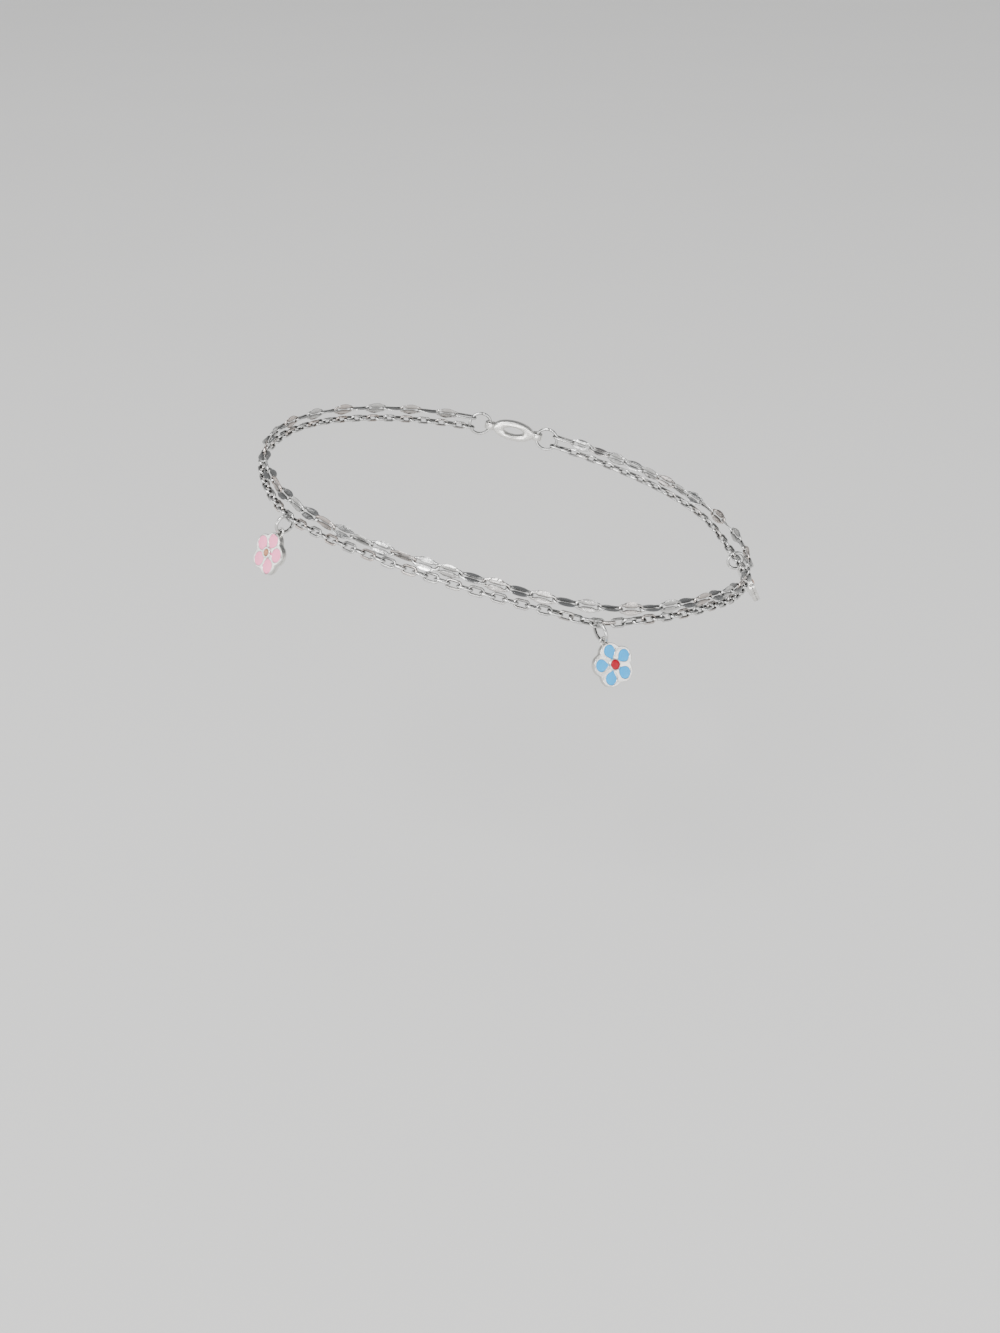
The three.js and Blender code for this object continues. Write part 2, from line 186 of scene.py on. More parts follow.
@cache
def recess_shade_group() -> bpy.types.NodeTree:
    """Builds the shared group that paints shade into the metal's recesses and makes them rougher.

    Returns:
        A group with a colour and a roughness that change over the surface.
    """
    graph, entry, leave = open_group(
        "recess_shade", "ShaderNodeTree",
        {"Recess": ("NodeSocketFloat", 0.0), "Marks": ("NodeSocketFloat", 0.5),
         "Unshaded Colour": ("NodeSocketColor", None), "Shade Colour": ("NodeSocketColor", None),
         "Base Roughness": ("NodeSocketFloat", 0.1)},
        {"Colour": "NodeSocketColor", "Roughness": "NodeSocketFloat"})
    inputs = entry.outputs
    # Painted shade: the recess share, broken up by the handling marks, blends the colour towards
    # the near-black shade colour; the roughness rises there too
    patchy = graph.fit(inputs["Marks"], (0.1, 0.8), (0.75, 1.0))
    depth = graph.math("MULTIPLY", inputs["Recess"], patchy)
    dull = graph.math("MULTIPLY", depth, 0.25)
    graph.fill(leave, {
        "Colour": graph.blend(depth, inputs["Unshaded Colour"], inputs["Shade Colour"]),
        "Roughness": graph.math("ADD", inputs["Base Roughness"], dull)})
    return graph.tree


def new_material(name: str) -> tuple[Material, Graph, Node]:
    """Starts a material.

    Args:
        name: the material's name.

    Returns:
        The material, its graph and its surface shader.
    """
    material = bpy.data.materials.new(name)
    material.use_nodes = True
    return material, Graph(material.node_tree), material.node_tree.nodes["Principled BSDF"]


@dataclass(frozen=True)
class WornFinish:
    """A surface with dents, fine lines and handling marks."""

    name: str
    dents_per_mm: float
    lines_per_mm: float
    line_share: float
    depth_mm: float
    strength: float
    smooth: float
    worn: float

    def stuff(self, graph: Graph, wear: Outputs, rough: Socket) -> dict[str, object]:
        """The shader's inputs that tell one stuff from another."""
        raise NotImplementedError

    def make(self) -> Material:
        """Builds the material and returns it."""
        material, graph, shader = new_material(self.name)
        wear = graph.add("ShaderNodeGroup", {"node_tree": wear_group()}, {
            "Dents per mm": self.dents_per_mm, "Lines per mm": self.lines_per_mm,
            "Line Share": self.line_share}).outputs
        rough = graph.fit(wear["Mask"], MARK_RANGE, (self.smooth, self.worn))
        bump = graph.add("ShaderNodeBump", None, {
            "Height": wear["Height"], "Strength": self.strength, "Distance": self.depth_mm * MM})
        graph.fill(shader, {**self.stuff(graph, wear, rough), "Normal": bump.outputs[0]})
        return material


@dataclass(frozen=True, kw_only=True)
class PolishedSteel(WornFinish):
    """Polished stainless steel, neutral in one link and faintly warm in the next."""

    dents_per_mm: float = 1.6
    lines_per_mm: float = 9.0
    line_share: float = 0.25
    depth_mm: float = 0.05
    strength: float = 0.5
    smooth: float = 0.09
    worn: float = 0.3
    bright: tuple = (0.57, 0.57, 0.56, 1.0)
    warm: tuple = (0.55, 0.40, 0.33, 1.0)
    # Painted shade: the near-black colour that the steel takes where its wire faces into a link's
    # or ring's hole
    shade_colour: tuple = (0.03, 0.029, 0.028, 1.0)

    def stuff(self, graph: Graph, wear: Outputs, rough: Socket) -> dict[str, object]:
        """Metal that takes a link's warm tone, with painted shade and a rougher surface in its
        recesses.
        """
        tint = graph.math("MULTIPLY", graph.carried("tone"), wear["Height"])
        shaded_and_dulled = graph.add("ShaderNodeGroup", {"node_tree": recess_shade_group()}, {
            "Recess": graph.carried("recess"), "Marks": wear["Mask"],
            "Unshaded Colour": graph.blend(tint, self.bright, self.warm),
            "Shade Colour": self.shade_colour, "Base Roughness": rough}).outputs
        return {"Base Color": shaded_and_dulled["Colour"], "Roughness": shaded_and_dulled["Roughness"], "Metallic": 1.0}


@dataclass(frozen=True, kw_only=True)
class GlossEnamel(WornFinish):
    """Opaque fired enamel with a clear skin and a slightly uneven depth of colour."""

    dents_per_mm: float = 0.8
    lines_per_mm: float = 6.0
    line_share: float = 0.1
    depth_mm: float = 0.03
    strength: float = 0.35
    smooth: float = 0.28
    worn: float = 0.4
    full: tuple
    thin: tuple
    sheen: float = 0.25
    skin: float = 0.08
    skin_roughness: float = 0.05

    def stuff(self, graph: Graph, wear: Outputs, rough: Socket) -> dict[str, object]:
        """Colour that thins with the waves, under a clear skin."""
        colour = graph.blend(wear["Height"], self.full, self.thin)
        return {"Base Color": colour, "Roughness": rough, "Specular IOR Level": self.sheen,
                "Coat Weight": self.skin, "Coat Roughness": self.skin_roughness}


class FinishChoice(Enum):
    """A choice among finishes."""

    def material(self) -> Material:
        """The finish's material, made once."""
        return bpy.data.materials.get(self.value.name) or self.value.make()


class EnamelShade(FinishChoice):
    """The enamels of the charms."""

    PINK = GlossEnamel(
        "fired_pink", full=(0.96, 0.22, 0.40, 1.0), thin=(0.98, 0.32, 0.50, 1.0))
    BLUE = GlossEnamel(
        "fired_blue", full=(0.0, 0.27, 0.64, 1.0), thin=(0.0, 0.34, 0.72, 1.0))
    MAUVE = GlossEnamel(
        "fired_mauve", full=(0.55, 0.22, 0.36, 1.0), thin=(0.62, 0.30, 0.43, 1.0))
    RED = GlossEnamel(
        "fired_red", full=(0.27, 0.001, 0.01, 1.0), thin=(0.33, 0.002, 0.015, 1.0))
    PEACH = GlossEnamel(
        "fired_peach", full=(0.36, 0.15, 0.08, 1.0), thin=(0.46, 0.22, 0.13, 1.0))

    @property
    def slot(self) -> str:
        """The slot name for this enamel."""
        return f"{self.name.lower()}_enamel"


class SteelFinish(FinishChoice):
    """How the steel pieces are worked."""

    HAMMERED = PolishedSteel("hammered_steel", strength=0.8, dents_per_mm=1.7, depth_mm=0.1)
    DRAWN = PolishedSteel(
        "drawn_steel", smooth=0.1, dents_per_mm=2.5, strength=0.3, line_share=0.5)
    CAST = PolishedSteel(
        "cast_steel", bright=(0.70, 0.69, 0.66, 1.0), smooth=0.16, worn=0.36,
        dents_per_mm=1.0, strength=0.6, depth_mm=0.08)

    @property
    def slot(self) -> str:
        """The slot name for all steel."""
        return "polished_steel"


# Mesh work, all in millimetres until a piece is finished

def show(name: str, data: bpy.types.ID) -> Object:
    """Puts a mesh, light or camera in the scene and returns its object."""
    shown = bpy.data.objects.new(name, data)
    bpy.context.scene.collection.objects.link(shown)
    return shown


def finish_piece(name: str, mesh: bpy.types.Mesh, replaced: Sequence[str]) -> None:
    """Puts a mesh in the scene as a piece of the anklet.

    Args:
        name: the piece's name.
        mesh: its mesh, in metres and in place.
        replaced: the CAD nodes that it stands for.
    """
    piece = show(name, mesh)
    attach(piece, "root")
    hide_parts(*replaced)
    mesh.calc_loop_triangles()
    LOG.info("%s: %d triangles for %s", name, len(mesh.loop_triangles), ", ".join(replaced))


class MeshBuilder:
    """Collects closed shells in millimetres and puts them out as one mesh in metres."""

    def __init__(self) -> None:
        """Starts with nothing."""
        self.bm = bmesh.new()
        # Each point's recess later sets how much painted shade the steel's material puts there
        self.recess = self.bm.verts.layers.float.new("recess")

    def band(self, rings: list[list[Vector]], recesses: Sequence[float], *, is_closed: bool = True,
             smooth: Callable[[int], bool] | None = None) -> None:
        """Adds a skin over rings of equal numbers of points.

        Args:
            rings: the rings of points, in order.
            recesses: how deep in a recess each point of a ring lies, from 0 to 1.
            is_closed: whether the last ring joins the first; otherwise both ends get a cap.
            smooth: says for each ring whether its faces are shaded smooth.
        """
        rows = [[self.bm.verts.new(point) for point in ring] for ring in rings]
        for row in rows:
            for vert, recess in zip(row, recesses):
                vert[self.recess] = recess
        sides = len(rows[0])
        last = len(rows) if is_closed else len(rows) - 1
        for row in range(last):
            here, after = rows[row], rows[(row + 1) % len(rows)]
            for side in range(sides):
                turn = (side + 1) % sides
                face = self.bm.faces.new((here[side], after[side], after[turn], here[turn]))
                face.smooth = smooth is None or smooth(row)
        if not is_closed:
            for cap in (rows[0], rows[-1]):
                self.bm.faces.new(cap).smooth = True

    def lathe(self, profile: Sequence[Point2], steps: int) -> None:
        """Adds a round solid about +Z.

        Args:
            profile: radius and height of each corner; the first and last lie on the axis.
            steps: the number of steps round.
        """
        ends = [self.bm.verts.new((0, 0, profile[end][1])) for end in (0, -1)]
        angles = [2 * math.pi * step / steps for step in range(steps)]
        rows = []
        for radius, height in profile[1:-1]:
            rows.append([self.bm.verts.new((radius * math.cos(a), radius * math.sin(a), height))
                         for a in angles])
        for step in range(steps):
            after = (step + 1) % steps
            self.bm.faces.new((ends[0], rows[0][after], rows[0][step])).smooth = True
            self.bm.faces.new((ends[1], rows[-1][step], rows[-1][after])).smooth = True
            for low, high in zip(rows, rows[1:]):
                self.bm.faces.new((low[step], low[after], high[after], high[step])).smooth = True

    def plate(self, outlines: Sequence[Sequence[Point2]], bottom: float, top: float,
              rounding: float, steps: int = 3) -> None:
        """Adds a plate with holes and rounded edges.

        Args:
            outlines: the outer outline anticlockwise, then each hole clockwise.
            bottom: the height of its underside.
            top: the height of its face.
            rounding: the radius of its edges.
            steps: the number of steps in each rounded edge.
        """
        turns = [math.pi / 2 * step / steps for step in range(steps + 1)]
        levels = [(rounding * (1 - math.sin(a)), top - rounding * (1 - math.cos(a)))
                  for a in turns]
        levels += [(inset, bottom + top - height) for inset, height in reversed(levels)]
        columns = []
        for outline in outlines:
            rows = []
            for inset, height in levels:
                moved = shift_left(outline, inset)
                rows.append([self.bm.verts.new((x, y, height)) for x, y in moved])
            for high, low in zip(rows, rows[1:]):
                for i, _ in enumerate(high):
                    j = (i + 1) % len(high)
                    self.bm.faces.new((high[i], low[i], low[j], high[j])).smooth = True
            columns.append(rows)
        for level, is_top in ((0, True), (-1, False)):
            edges = [column[level] for column in columns]
            flat = [vert for edge in edges for vert in edge]
            for corners in tessellate_polygon([[vert.co for vert in edge] for edge in edges]):
                face = self.bm.faces.new([flat[i] for i in corners])
                face.normal_update()
                if (face.normal.z > 0) != is_top:
                    face.normal_flip()
                face.smooth = True

    def ring(self, radius: float, wire: float, place: Matrix, *, gap: float = 0.0,
             at: float = 90.0, steps: int = 40, sides: int = 12) -> None:
        """Adds a ring of round wire, closed or cut through once as a jump ring is.

        Args:
            radius: from the middle to the wire's middle.
            wire: the wire's diameter.
            place: where the ring lies, in its own XY plane.
            gap: the width of the cut, or 0 for a closed ring.
            at: the cut's angle in degrees.
            steps: the number of steps round the ring.
            sides: the number of sides of the wire.
        """
        cut = gap / radius
        start = math.radians(at) + cut / 2
        count = steps + (1 if gap else 0)
        around = [2 * math.pi * side / sides for side in range(sides)]
        rings = []
        for step in range(count):
            angle = start + (2 * math.pi - cut) * step / steps
            aim, across = math.cos(angle), math.sin(angle)
            rim = []
            for turn in around:
                reach, lift = radius + wire / 2 * math.cos(turn), wire / 2 * math.sin(turn)
                rim.append(place @ Vector((reach * aim, reach * across, lift)))
            rings.append(rim)
        self.band(rings, [inner_share(turn) for turn in around], is_closed=not gap)

    def shell(self, other: "MeshBuilder", place: Matrix) -> None:
        """Adds another builder's shells at a place."""
        mesh = bpy.data.meshes.new("part")
        other.bm.to_mesh(mesh)
        mesh.transform(place)
        self.bm.from_mesh(mesh)
        bpy.data.meshes.remove(mesh)

    def mesh(self, name: str, material: Material,
             place: Matrix = Matrix.Identity(4)) -> bpy.types.Mesh:
        """Closes the work.

        Args:
            name: the mesh's name.
            material: its only material.
            place: where it goes, in millimetres.

        Returns:
            The mesh in metres, its faces outwards.
        """
        bmesh.ops.recalc_face_normals(self.bm, faces=self.bm.faces)
        mesh = bpy.data.meshes.new(name)
        self.bm.to_mesh(mesh)
        self.bm.free()
        mesh.transform(Matrix.Scale(MM, 4) @ place)
        mesh.materials.append(material)
        return mesh

    def piece(self, name: str, finish: FinishChoice, place: Matrix,
              replaced: Sequence[str]) -> None:
        """Puts the work in the scene as a piece that stands for CAD nodes."""
        finish_piece(name, self.mesh(name, finish.material(), place), replaced)


def inner_share(turn: float) -> float:
    """How far a side of the wire faces into the link's or ring's hole, from 0 to 1."""
    return max(0.0, -math.cos(turn))


def shift_left(outline: Sequence[Point2], distance: float) -> list[Point2]:
    """Moves a closed outline to its left side by a distance, corners mitred, and returns it."""
    moved = []
    for i, (x, y) in enumerate(outline):
        before = Vector(outline[i]) - Vector(outline[i - 1])
        after = Vector(outline[(i + 1) % len(outline)]) - Vector(outline[i])
        normal = before.normalized().orthogonal() + after.normalized().orthogonal()
        normal.normalize()
        share = max(normal.dot(before.normalized().orthogonal()), MITRE_LIMIT)
        moved.append((x + normal.x * distance / share, y + normal.y * distance / share))
    return moved


# The loop that both strands follow

@dataclass(frozen=True)
class Loop:
    """The flat ellipse round the ankle, lower on its +X side, walked from the clasp by -X."""

    across: float = 77.9
    deep: float = 69.2
    lean: float = 13.7
    clasp_angle: float = 89.2
    steps: int = 1440

    def corner(self, turn: float) -> Vector:
        """The ellipse's point at a share of its whole angle."""
        angle = math.radians(self.clasp_angle) + 2 * math.pi * turn
        return Vector((self.across / 2 * math.cos(angle), self.deep / 2 * math.sin(angle), 0))

    @cached_property
    def walked(self) -> list[float]:
        """The length walked at each step."""
        lengths = [0.0]
        for step in range(self.steps):
            gone = self.corner((step + 1) / self.steps) - self.corner(step / self.steps)
            lengths.append(lengths[-1] + gone.length)
        return lengths

    @property
    def length(self) -> float:
        """The length of the whole loop."""
        return self.walked[-1]

    @property
    def tilt(self) -> Matrix:
        """The turn of the flat loop into its lean."""
        return Matrix.Rotation(math.radians(self.lean), 4, "Y")

    def flat_point(self, distance: float) -> Vector:
        """The point of the flat loop at a distance from the clasp."""
        goal = distance % self.length
        high = bisect_right(self.walked, goal)
        low = high - 1
        share = (goal - self.walked[low]) / (self.walked[high] - self.walked[low])
        return self.corner((low + share) / self.steps)


# The route: share of the way round, drop of each strand under the loop, and mean
# turn of the leaf links
ROUTE = (
    (0.0, 0.0, 1.74, 58), (0.1, 0.1, 1.9, 50), (0.2, 0.3, 2.1, 35), (0.29, 0.6, 2.7, 27),
    (0.341, 0.7, 3.2, 24), (0.375, 0.45, 2.45, 16), (0.41, 0.0, 1.74, -2),
    (0.44, -0.3, 1.45, 0), (0.47, -0.42, 1.33, 34), (0.5, -0.25, 1.55, 36),
    (0.53, 0.15, 2.0, 42), (0.5617, 0.42, 2.87, 54), (0.59, 0.3, 2.15, 56),
    (0.62, -0.12, 1.63, 42), (0.65, -0.38, 1.37, 36), (0.69, 0.2, 2.05, 34),
    (0.74, 0.5, 2.6, 32), (0.782, 0.45, 3.3, 30), (0.83, 0.2, 2.1, 10), (0.92, 0.05, 1.8, -30),
    (1.0, 0.0, 1.74, -58),
)
UPPER, LOWER, LEAF_TURN = 1, 2, 3

# Share of the way round and mean turn of the cable links
CABLE_TURNS = (
    (0.0, 52), (0.33, 66), (0.525, 66), (0.56, -10), (0.574, -10), (0.585, 28), (0.596, 66),
    (0.9, 66), (1.0, 52),
)


def route_value(share: float, column: int) -> float:
    """Reads the route smoothly.

    Args:
        share: the share of the way round from the clasp.
        column: UPPER, LOWER or LEAF_TURN.

    Returns:
        The column's value there.
    """
    last = len(ROUTE) - 1
    after = next((i for i in range(1, last) if ROUTE[i][0] > share), last)
    before = after - 1
    start, end = ROUTE[before][0], ROUTE[after][0]
    half = (end - start) / 2
    far_before = ROUTE[before - 1] if before > 0 else ROUTE[after]
    far_after = ROUTE[after + 1] if after < last else ROUTE[before]
    w_in = half / (start - far_before[0])
    w_out = half / (far_after[0] - end)
    p = (share - start) / (end - start)
    return (
        (-w_in * p ** 3 + 2 * w_in * p ** 2 - w_in * p) * far_before[column]
        + ((1 + w_in) * p ** 3 - (1.5 + 2 * w_in) * p ** 2 + (w_in - 0.5) * p + 1)
        * ROUTE[before][column]
        + (-(1 + w_out) * p ** 3 + (1.5 + w_out) * p ** 2 + 0.5 * p) * ROUTE[after][column]
        + (w_out * p ** 3 - w_out * p ** 2) * far_after[column])


def cable_turn(share: float) -> float:
    """The mean turn of the cable links at a share of the way round."""
    for (start, low), (end, high) in zip(CABLE_TURNS, CABLE_TURNS[1:]):
        if share <= end:
            return low + (high - low) * (share - start) / (end - start)
    return CABLE_TURNS[-1][1]


@dataclass(frozen=True)
class StrandLine:
    """The middle line of a strand under the loop."""

    loop: Loop
    drop: Callable[[float], float]

    def point(self, distance: float) -> Vector:
        """The point at a distance from the clasp."""
        flat = self.loop.flat_point(distance)
        flat.z = -self.drop(distance / self.loop.length)
        return self.loop.tilt @ flat

    def basis(self, distance: float) -> tuple[Vector, Vector, Vector]:
        """Directions along the strand, up across it, and away from the ankle."""
        step = 0.02
        along = (self.point(distance + step) - self.point(distance - step)).normalized()
        out = along.cross(self.loop.tilt @ Vector((0, 0, 1))).normalized()
        return along, out.cross(along), out

    def place(self, distance: float, turn: float) -> Matrix:
        """The place of something on the strand.

        Args:
            distance: from the clasp, in millimetres.
            turn: how far its face is tipped upwards, in degrees.

        Returns:
            A matrix with x along the strand and z out of the piece's face.
        """
        axes = Matrix(self.basis(distance)).transposed().to_4x4()
        tipped = axes @ Matrix.Rotation(math.radians(-turn), 4, "X")
        return Matrix.Translation(self.point(distance)) @ tipped


# The fittings behind the ankle

@dataclass
class ClaspSet:
    """The plain clasp and the end rings that join it to both strands."""

    loop: Loop
    ring_radius: float = 1.85
    ring_wire: float = 0.5
    ring_cut: float = 0.05
    length: float = 7.4
    width: float = 3.4
    thickness: float = 1.6
    slot_length: float = 3.6
    slot_width: float = 1.5
    eye_outer: float = 1.0
    eye_hole: float = 0.52
    eye_height: float = 1.2
    eye_edge: float = 0.16
    edge: float = 0.3
    steps: int = 48

    @property
    def eye_along(self) -> float:
        """The eyes' distance from the clasp's middle."""
        return self.length / 2 + self.eye_outer / 2

    @property
    def ring_along(self) -> float:
        """The end rings' distance from the clasp's middle."""
        return self.eye_along + self.ring_radius

    @property
    def half_spread(self) -> float:
        """Half the distance between the strands at the end rings."""
        return (route_value(0, LOWER) - route_value(0, UPPER)) / 2

    @property
    def line(self) -> StrandLine:
        """The line on which the clasp and its rings lie, midway between the strands."""
        middle = (route_value(0, LOWER) + route_value(0, UPPER)) / 2
        return StrandLine(self.loop, lambda share: middle)

    def oval(self, length: float, width: float, *, is_hole: bool) -> list[Point2]:
        """An oval's points, clockwise for a hole."""
        sign = -1 if is_hole else 1
        angles = [sign * 2 * math.pi * step / self.steps for step in range(self.steps)]
        return [(length / 2 * math.cos(a), width / 2 * math.sin(a)) for a in angles]

    def build_clasp(self) -> None:
        """Builds the clasp's smooth body with an upright eye at each end."""
        body = MeshBuilder()
        outlines = [self.oval(self.length, self.width, is_hole=False),
                    self.oval(self.slot_length, self.slot_width, is_hole=True)]
        body.plate(outlines, -self.thickness / 2, self.thickness / 2, self.edge)
        rims = [self.oval(2 * self.eye_outer, 2 * self.eye_outer, is_hole=False),
                self.oval(2 * self.eye_hole, 2 * self.eye_hole, is_hole=True)]
        upright = Matrix.Rotation(math.radians(-90), 4, "X")
        for end in (-1, 1):
            eye = MeshBuilder()
            eye.plate(rims, -self.eye_height / 2, self.eye_height / 2, self.eye_edge, steps=2)
            body.shell(eye, Matrix.Translation((end * self.eye_along, 0, 0)) @ upright)
        body.piece("clasp_body", SteelFinish.CAST, self.line.place(0, 0), ["clasp"])

    def build_ring(self, side: str, direction: int) -> None:
        """Builds the end ring with its fine cut on one side of the clasp."""
        ring = MeshBuilder()
        ring.ring(self.ring_radius, self.ring_wire, Matrix.Identity(4), gap=self.ring_cut)
        place = self.line.place(direction * self.ring_along, 0)
        ring.piece(f"{side}_end_ring_wire", SteelFinish.DRAWN, place, [f"{side}_end_ring"])

    def build(self) -> None:
        """Builds the clasp and both rings."""
        self.build_clasp()
        self.build_ring("left", 1)
        self.build_ring("right", -1)


# The strands

@cache
def strand_tree() -> bpy.types.NodeTree:
    """Builds the tree that hangs links on the points of a strand.

    Returns:
        A tree with named inputs for the links' sizes.
    """
    graph, entry, leave = open_group(
        "linked_strand", "GeometryNodeTree",
        {"Geometry": ("NodeSocketGeometry", None), "Leaf Link": ("NodeSocketObject", None),
         "Wire Radius": ("NodeSocketFloat", 0.0002), "Bend Radius": ("NodeSocketFloat", 0.0006),
         "Half Straight": ("NodeSocketFloat", 0.0004), "Link Corners": ("NodeSocketInt", 12),
         "Wire Sides": ("NodeSocketInt", 6), "Finish": ("NodeSocketMaterial", None)},
        {"Geometry": "NodeSocketGeometry"})
    inputs = entry.outputs

    def where() -> Outputs:
        """Reads X, Y and Z of the point at hand."""
        return graph.parts(graph.add("GeometryNodeInputPosition").outputs[0])

    def circle(corners: str, radius: str) -> Socket:
        """Draws a circle whose corners and radius are inputs of the tree."""
        return graph.add("GeometryNodeCurvePrimitiveCircle", {"mode": "RADIUS"}, {
            "Resolution": inputs[corners], "Radius": inputs[radius]}).outputs[0]

    def attribute(label: str, data_type: str) -> Socket:
        """Reads a value that the strand's points carry."""
        return graph.add("GeometryNodeInputNamedAttribute", {"data_type": data_type}, {
            "Name": label}).outputs[0]

    # The oval link: a circle drawn apart along x, with its wire round it
    half_step = graph.math("DIVIDE", math.pi, inputs["Link Corners"])
    turned = graph.add("GeometryNodeTransform", None, {
        "Geometry": circle("Link Corners", "Bend Radius"), "Rotation": graph.vector(Z=half_step)})
    side = graph.math("SIGN", where()["X"])
    oval = graph.add("GeometryNodeSetPosition", None, {
        "Geometry": turned.outputs[0],
        "Offset": graph.vector(X=graph.math("MULTIPLY", side, inputs["Half Straight"]))})
    link = graph.add("GeometryNodeCurveToMesh", None, {
        "Curve": oval.outputs[0], "Profile Curve": circle("Wire Sides", "Wire Radius")})
    smooth = graph.add("GeometryNodeSetShadeSmooth", None, {
        "Geometry": link.outputs[0], "Shade Smooth": True})

    # Its recess: how far the wire's side faces the link's hole, which sets the painted shade in
    # the steel
    spread = where()
    least = graph.math("MULTIPLY", inputs["Half Straight"], -1.0)
    nearest = graph.add("ShaderNodeClamp", None, {
        "Value": spread["X"], "Min": least, "Max": inputs["Half Straight"]}).outputs[0]
    inwards = graph.vector(X=graph.math("SUBTRACT", nearest, spread["X"]),
                           Y=graph.math("MULTIPLY", spread["Y"], -1.0))
    aimed = graph.vector_math("NORMALIZE", inwards).outputs[0]
    normal = graph.add("GeometryNodeInputNormal").outputs[0]
    facing = graph.vector_math("DOT_PRODUCT", aimed, normal).outputs["Value"]
    recess = graph.add("ShaderNodeClamp", None, {
        "Value": graph.math("MULTIPLY", facing, RECESS_RISE)})
    oval_link = graph.add(
        "GeometryNodeStoreNamedAttribute", {"data_type": "FLOAT", "domain": "POINT"}, {
            "Geometry": smooth.outputs[0], "Name": "recess", "Value": recess.outputs[0]})

    # Both kinds of link on their points
    leaf = graph.add("GeometryNodeObjectInfo", None, {"Object": inputs["Leaf Link"]})
    turn = graph.add(
        "FunctionNodeAxesToRotation", {"primary_axis": "X", "secondary_axis": "Z"}, {
            "Primary Axis": attribute("along", "FLOAT_VECTOR"),
            "Secondary Axis": attribute("face", "FLOAT_VECTOR")})
    is_oval = attribute("is_oval", "BOOLEAN")
    is_leaf = graph.add("FunctionNodeBooleanMath", {"operation": "NOT"}, {0: is_oval}).outputs[0]
    joined = graph.add("GeometryNodeJoinGeometry")
    for chosen, shape in ((is_leaf, leaf.outputs["Geometry"]), (is_oval, oval_link.outputs[0])):
        hung = graph.add("GeometryNodeInstanceOnPoints", None, {
            "Points": inputs["Geometry"], "Selection": chosen, "Instance": shape,
            "Rotation": turn.outputs[0]})
        graph.tree.links.new(hung.outputs[0], joined.inputs[0])
    whole = graph.add("GeometryNodeRealizeInstances", None, {"Geometry": joined.outputs[0]})
    dressed = graph.add("GeometryNodeSetMaterial", None, {
        "Geometry": whole.outputs[0], "Material": inputs["Finish"]})
    graph.tree.links.new(dressed.outputs[0], leave.inputs[0])
    return graph.tree


@dataclass
class OvalLink:
    """A plain oval link of round wire."""

    pitch: float
    width: float
    wire: float
    play: float = 0.02
    corners: int = 12
    sides: int = 6

    def sizes(self) -> dict[str, float]:
        """The tree's named sizes for this link, in metres."""
        bend = (self.width - self.wire) / 2
        end = (self.pitch + self.play + self.wire) / 2
        straight = end - bend * math.cos(math.pi / self.corners)
        return {"Wire Radius": self.wire / 2 * MM, "Bend Radius": bend * MM,
                "Half Straight": straight * MM, "Link Corners": self.corners,
                "Wire Sides": self.sides}


@dataclass
class LeafLink:
    """An oval link with both long sides hammered to leaves that nearly meet."""

    pitch: float
    wire: float = 0.35
    width: float = 2.0
    hole_radius: float = 0.295
    play: float = 0.02
    sides: int = 8
    # Along the half link, then the leaf's inner and outer edge as shares of half the width, its
    # thickness in wires and its facing in degrees
    leaf: tuple = (
        (0.63, 0.27, 0.69, 0.84, 80), (0.5, 0.15, 0.83, 0.66, 84), (0.34, 0.08, 0.93, 0.56, 88),
        (0.17, 0.075, 0.985, 0.53, 90), (0.0, 0.075, 1.0, 0.52, 90))
    bends: tuple = (15, 45, 72)

    def quarter(self) -> list[tuple[float, float, float, float, float, bool]]:
        """One quarter of the link, from its end to its middle.

        Returns:
            For each section its place, facing, width and thickness, and whether it is leaf.
        """
        radius = self.hole_radius + self.wire / 2
        end = (self.pitch + self.play + self.wire) / 2
        half = self.width / 2
        rows = []
        for angle in self.bends:
            turn = math.radians(angle)
            x, y = end - radius + radius * math.cos(turn), radius * math.sin(turn)
            rows.append((x, y, turn, self.wire, self.wire, False))
        for along, inner, outer, thick, facing in self.leaf:
            y = (inner + outer) / 2 * half
            width, thickness = (outer - inner) * half, thick * self.wire
            rows.append((along * end, y, math.radians(facing), width, thickness, True))
        return rows

    def build(self, material: Material) -> Object:
        """Builds one link as an object at the origin."""
        quarter = self.quarter()
        mirrored = [(-x, y, math.pi - turn, *rest) for x, y, turn, *rest in reversed(quarter[:-1])]
        half = quarter + mirrored
        rows = half + [(-x, -y, turn + math.pi, *rest) for x, y, turn, *rest in half]
        flat = math.cos(math.pi / self.sides)
        around = [2 * math.pi * (side + 0.5) / self.sides for side in range(self.sides)]
        rings = []
        for x, y, turn, width, thick, _ in rows:
            ring = []
            for side in around:
                reach, lift = width / 2 * math.cos(side) / flat, thick / 2 * math.sin(side) / flat
                ring.append(Vector((x + reach * math.cos(turn), y + reach * math.sin(turn), lift)))
            rings.append(ring)

        def is_round(row: int) -> bool:
            """Says whether the wire after a section is left round."""
            return not (rows[row][-1] and rows[(row + 1) % len(rows)][-1])

        builder = MeshBuilder()
        builder.band(rings, [inner_share(side) for side in around], smooth=is_round)
        return show("leaf_link", builder.mesh("leaf_link", material))


